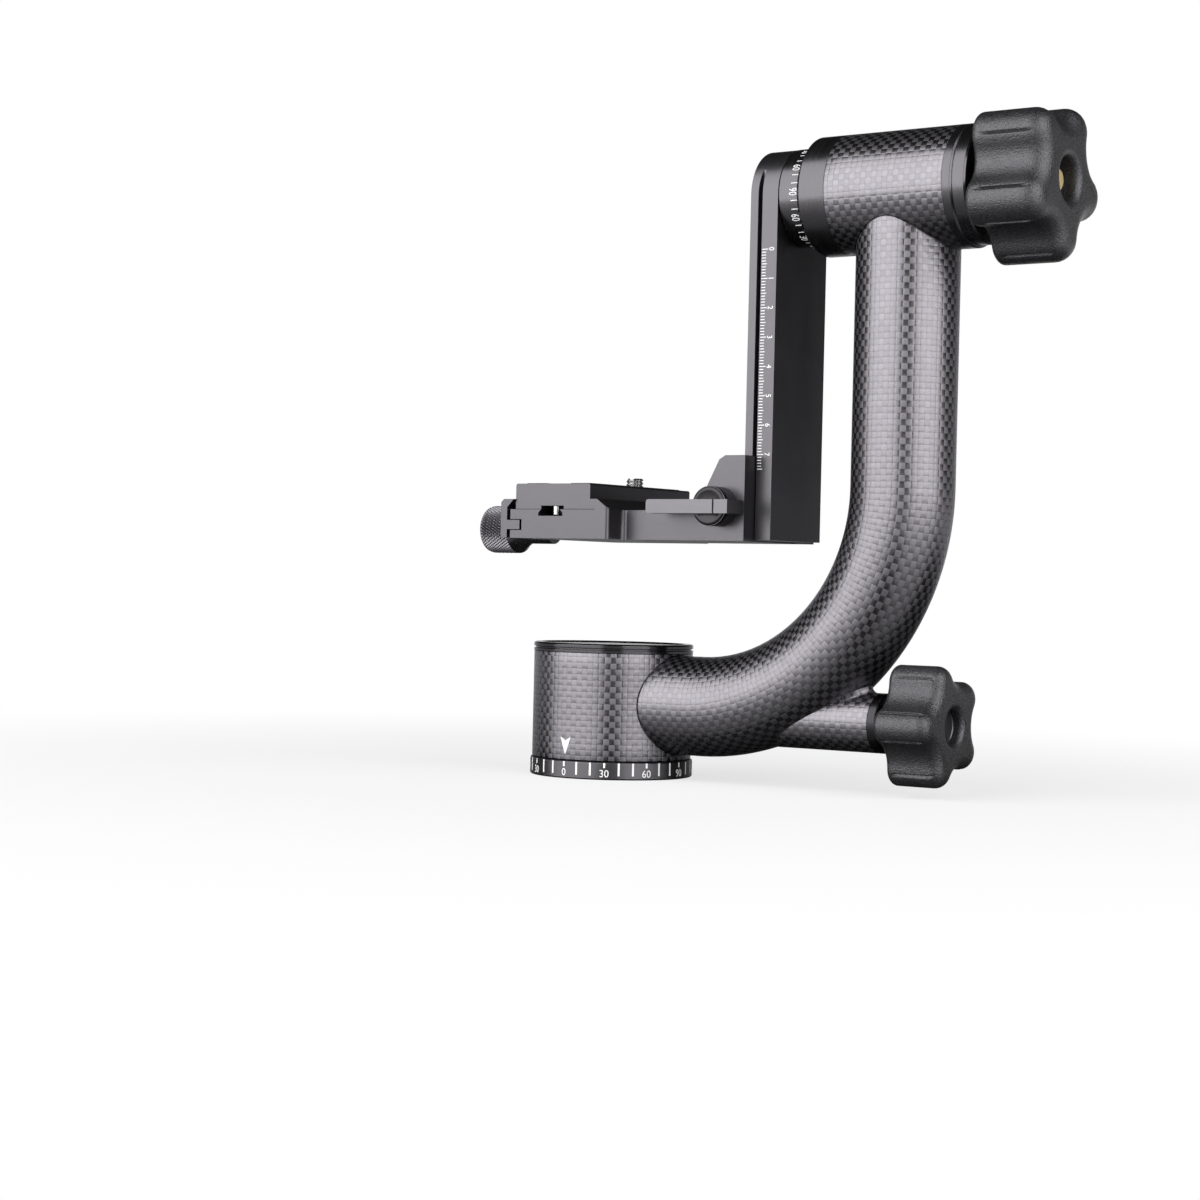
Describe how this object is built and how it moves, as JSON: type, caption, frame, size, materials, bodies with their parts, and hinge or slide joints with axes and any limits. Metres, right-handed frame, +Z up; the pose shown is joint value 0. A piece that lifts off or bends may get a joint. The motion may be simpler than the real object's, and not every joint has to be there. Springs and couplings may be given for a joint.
{
  "type": "gimbal tripod head",
  "caption": "Camera gimbal head: a round panning base, a U-shaped carbon arm, a swinging height-adjustable bracket with a dovetail clamp and plate, and lobed locking knobs.",
  "frame": {"origin": "mouth of the 3/8 inch tripod socket, on the pan axis at the base's bottom face", "axes": "+Z up along the pan axis, +X from the pan axis towards the arm's upright and the tilt knob, -Y towards the index mark and the lock lever"},
  "size_m": [0.2314, 0.0666, 0.2277],
  "materials": {
    "carbon": "clear-coated carbon fibre twill",
    "anodised_black": "satin black anodised",
    "machined_aluminium": "plain machined",
    "steel": "machined stainless steel",
    "brass": "turned brass",
    "grip_rubber": "grained black rubber",
    "pad_rubber": "matt black rubber",
    "vial": "clear",
    "vial_fluid": "green liquid",
    "bubble": "clear"
  },
  "bodies": {
    "base": {"base_ring": "anodised_black", "base_pad": "pad_rubber", "tripod_insert": "steel", "base_screws": "steel", "spindle": "steel", "pan_inner_races": "steel", "brake_drum": "steel", "spindle_nut": "steel"},
    "arm": {"base_shell": "carbon", "base_core": "machined_aluminium", "base_cap": "anodised_black", "pan_outer_races": "steel", "pan_balls": "steel", "bearing_retainer": "machined_aluminium", "arm_tube": "carbon", "lower_plug": "machined_aluminium", "upper_plug": "machined_aluminium", "branch_tube": "carbon", "branch_ring": "anodised_black", "tilt_housing": "carbon", "tilt_sleeve": "machined_aluminium", "tilt_collar": "anodised_black", "tilt_end_ring": "anodised_black", "tilt_outer_races": "steel", "tilt_balls": "steel"},
    "swing": {"swing_arm": "anodised_black", "arm_screws": "steel", "tilt_axle": "steel", "tilt_index_ring": "anodised_black", "tilt_inner_races": "steel"},
    "bracket": {"height_bracket": "anodised_black"},
    "lever": {"lock_lever": "anodised_black", "lever_stud": "steel"},
    "jaw": {"moving_jaw": "anodised_black", "guide_pins": "steel"},
    "clamp_knob_body": {"clamp_knob": "anodised_black", "clamp_screw": "steel", "level_vial": "vial", "level_fluid": "vial_fluid", "level_bubble": "bubble"},
    "plate": {"release_plate": "anodised_black", "plate_pads": "pad_rubber", "stop_screws": "steel"},
    "slider": {"slot_slider": "anodised_black"},
    "washer": {"screw_washer": "steel"},
    "camera_screw_body": {"camera_screw": "steel"},
    "pan_lock": {"pan_lock_rod": "steel", "pan_brake_pad": "brass"},
    "pan_knob_body": {"pan_knob": "grip_rubber", "pan_knob_hub": "anodised_black", "pan_knob_screw": "anodised_black"},
    "tilt_lock": {"tilt_brake_disc": "brass"},
    "tilt_knob_body": {"tilt_knob": "grip_rubber", "tilt_knob_hub": "anodised_black", "tilt_knob_screw": "brass"}
  },
  "joints": [
    {"name": "pan", "type": "hinge", "parent": "base", "child": "arm", "pos_m": [0, 0, 0], "axis": [0, 0, 1], "continuous": true},
    {"name": "tilt", "type": "hinge", "parent": "arm", "child": "swing", "pos_m": [0.09, 0, 0.2033], "axis": [1, 0, 0], "continuous": true},
    {"name": "height_slide", "type": "slide", "parent": "swing", "child": "bracket", "axis": [0, 0, 1], "range_m": [0, 0.07]},
    {"name": "lever_turn", "type": "hinge", "parent": "bracket", "child": "lever", "pos_m": [0.059, -0.027, 0.0963], "axis": [0, 1, 0], "range_deg": [0, 90]},
    {"name": "jaw_slide", "type": "slide", "parent": "bracket", "child": "jaw", "axis": [-1, 0, 0], "range_m": [0, 0.004]},
    {"name": "clamp_knob_turn", "type": "hinge", "parent": "jaw", "child": "clamp_knob_body", "pos_m": [-0.05, 0, 0.0885], "axis": [-1, 0, 0], "range_deg": [0, 1800]},
    {"name": "plate_slide", "type": "slide", "parent": "bracket", "child": "plate", "axis": [0, 1, 0], "range_m": [-0.02, 0.02]},
    {"name": "screw_slide", "type": "slide", "parent": "plate", "child": "slider", "axis": [0, 1, 0], "range_m": [-0.0395, 0]},
    {"name": "screw_lift", "type": "slide", "parent": "slider", "child": "washer", "axis": [0, 0, 1], "range_m": [-0.0024, 0]},
    {"name": "camera_screw_turn", "type": "hinge", "parent": "washer", "child": "camera_screw_body", "pos_m": [-0.0057, 0.0195, 0.1], "axis": [0, 0, 1], "continuous": true},
    {"name": "pan_lock_slide", "type": "slide", "parent": "arm", "child": "pan_lock", "axis": [1, 0, 0], "range_m": [0, 0.001]},
    {"name": "pan_knob_turn", "type": "hinge", "parent": "pan_lock", "child": "pan_knob_body", "pos_m": [0.128, 0, 0.0241], "axis": [1, 0, 0], "range_deg": [0, 360]},
    {"name": "tilt_lock_slide", "type": "slide", "parent": "arm", "child": "tilt_lock", "axis": [1, 0, 0], "range_m": [0, 0.00125]},
    {"name": "tilt_knob_turn", "type": "hinge", "parent": "tilt_lock", "child": "tilt_knob_body", "pos_m": [0.16, 0, 0.2033], "axis": [1, 0, 0], "range_deg": [0, 360]}
  ],
  "couplings": [
    {"joint": "clamp_knob_turn", "follows": "jaw_slide", "rad_per_m": 7854},
    {"joint": "pan_knob_turn", "follows": "pan_lock_slide", "rad_per_m": 6283.2},
    {"joint": "tilt_knob_turn", "follows": "tilt_lock_slide", "rad_per_m": 5026.5}
  ]
}
